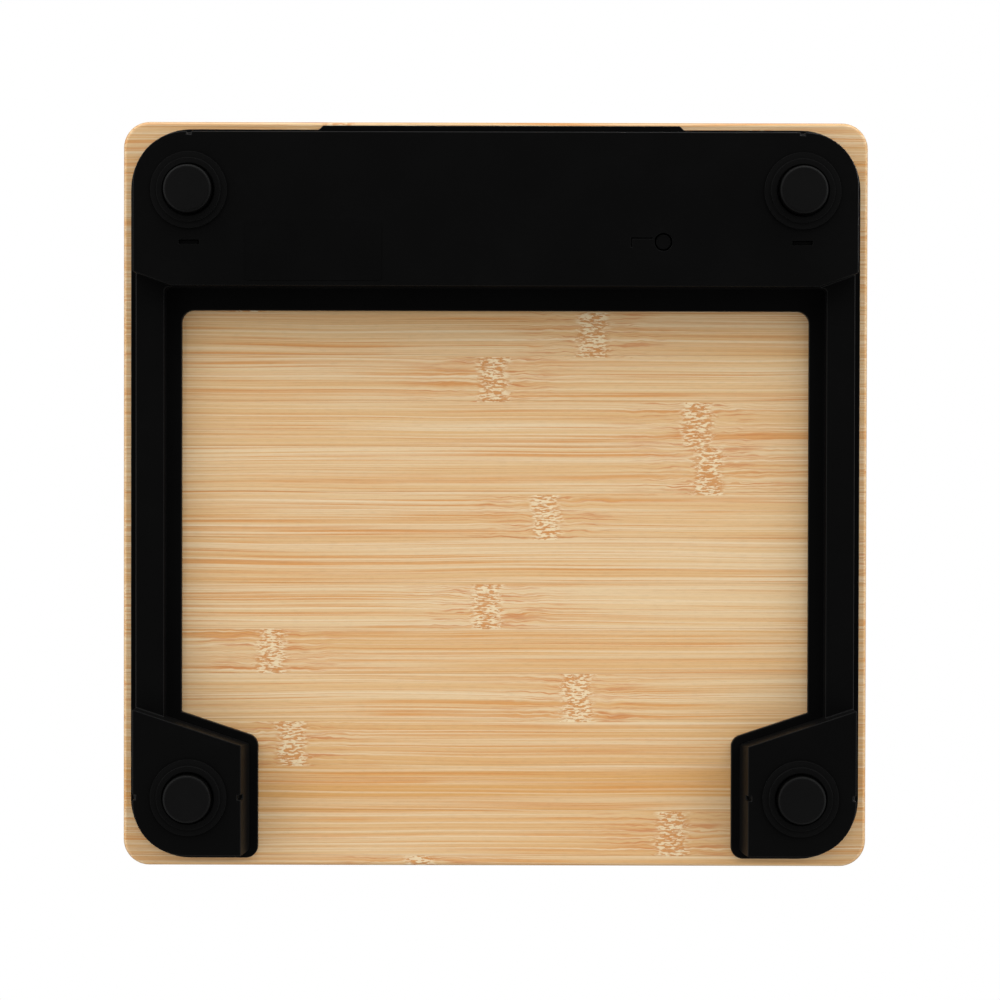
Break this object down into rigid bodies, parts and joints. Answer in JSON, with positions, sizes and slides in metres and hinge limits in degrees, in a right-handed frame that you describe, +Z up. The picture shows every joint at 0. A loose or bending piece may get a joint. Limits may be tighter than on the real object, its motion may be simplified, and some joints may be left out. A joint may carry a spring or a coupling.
{
  "type": "kitchen scale",
  "caption": "Square kitchen scale: laminated bamboo platform over a black arch-shaped housing with spring-loaded weighing feet, a flush display and push buttons.",
  "frame": {"origin": "on the surface the scale stands on, under the middle of the board", "axes": "+Z up through the weighing face; -Y towards the user and the display; +X to the user's right"},
  "size_m": [0.2, 0.2, 0.02],
  "materials": {
    "bamboo": "oiled laminated bamboo, fine grain",
    "housing_plastic": "fine moulded texture",
    "label": "matt printed film, blank",
    "lens_acrylic": "polished",
    "adhesive": "double-sided tape",
    "tray_plastic": "moulded",
    "lcd": "polarised glass",
    "light_guide": "clear moulded",
    "zebra_rubber": "layered",
    "button_plastic": "fine moulded texture",
    "switch_plastic": "moulded",
    "switch_stem": "moulded",
    "circuit_board": "solder mask",
    "socket_steel": "stamped and plated",
    "battery_foil": "pouch foil",
    "foam": "foam tape",
    "wire_insulation": "pvc insulation",
    "screw_steel": "zinc plated",
    "foot_rubber": "matt, dusty from use",
    "plunger_plastic": "moulded",
    "cell_steel": "stamped spring steel",
    "sealant": "silicone"
  },
  "bodies": {
    "root": {"bamboo_board": "bamboo", "bottom_cover": "housing_plastic", "mount_frame": "housing_plastic", "front_left_ring": "housing_plastic", "front_right_ring": "housing_plastic", "rear_left_ring": "housing_plastic", "rear_right_ring": "housing_plastic", "rating_label": "label", "display_lens": "lens_acrylic", "lens_adhesive": "adhesive", "display_housing": "tray_plastic", "front_left_bracket": "tray_plastic", "front_right_bracket": "tray_plastic", "rear_left_bracket": "tray_plastic", "rear_right_bracket": "tray_plastic", "lcd_glass": "lcd", "backlight": "light_guide", "zebra_strip": "zebra_rubber", "power_switch": "switch_plastic", "tare_switch": "switch_plastic", "unit_switch": "switch_plastic", "converter_chip": "switch_plastic", "controller_chip": "switch_plastic", "main_pcb": "circuit_board", "usb_socket": "socket_steel", "battery": "battery_foil", "battery_pad": "foam", "battery_leads": "wire_insulation", "front_left_wires": "wire_insulation", "front_right_wires": "wire_insulation", "rear_left_wires": "wire_insulation", "rear_right_wires": "wire_insulation", "board_screws": "screw_steel", "bracket_screws": "screw_steel", "pcb_screws": "screw_steel", "front_left_load_cell": "cell_steel", "front_right_load_cell": "cell_steel", "rear_left_load_cell": "cell_steel", "rear_right_load_cell": "cell_steel", "front_left_gauge": "sealant", "front_right_gauge": "sealant", "rear_left_gauge": "sealant", "rear_right_gauge": "sealant"},
    "front_left_foot": {"front_left_plunger": "plunger_plastic", "front_left_pad": "foot_rubber"},
    "front_right_foot": {"front_right_plunger": "plunger_plastic", "front_right_pad": "foot_rubber"},
    "rear_left_foot": {"rear_left_plunger": "plunger_plastic", "rear_left_pad": "foot_rubber"},
    "rear_right_foot": {"rear_right_plunger": "plunger_plastic", "rear_right_pad": "foot_rubber"},
    "power_key": {"power_button": "button_plastic", "power_stem": "switch_stem"},
    "tare_key": {"tare_button": "button_plastic", "tare_stem": "switch_stem"},
    "unit_key": {"unit_button": "button_plastic", "unit_stem": "switch_stem"}
  },
  "joints": [
    {"name": "front_left_foot_press", "type": "slide", "parent": "root", "child": "front_left_foot", "axis": [0, 0, 1], "range_m": [0, 0.0005], "stiffness_N_per_m": 25000, "deforming": ["front_left_load_cell"]},
    {"name": "front_right_foot_press", "type": "slide", "parent": "root", "child": "front_right_foot", "axis": [0, 0, 1], "range_m": [0, 0.0005], "stiffness_N_per_m": 25000, "deforming": ["front_right_load_cell"]},
    {"name": "rear_left_foot_press", "type": "slide", "parent": "root", "child": "rear_left_foot", "axis": [0, 0, 1], "range_m": [0, 0.0005], "stiffness_N_per_m": 25000, "deforming": ["rear_left_load_cell"]},
    {"name": "rear_right_foot_press", "type": "slide", "parent": "root", "child": "rear_right_foot", "axis": [0, 0, 1], "range_m": [0, 0.0005], "stiffness_N_per_m": 25000, "deforming": ["rear_right_load_cell"]},
    {"name": "power_press", "type": "slide", "parent": "root", "child": "power_key", "axis": [0, 0, -1], "range_m": [0, 0.0005], "stiffness_N_per_m": 3000},
    {"name": "tare_press", "type": "slide", "parent": "root", "child": "tare_key", "axis": [0, 0, -1], "range_m": [0, 0.0005], "stiffness_N_per_m": 3000},
    {"name": "unit_press", "type": "slide", "parent": "root", "child": "unit_key", "axis": [0, 0, 1], "range_m": [0, 0.0004], "stiffness_N_per_m": 3000}
  ]
}
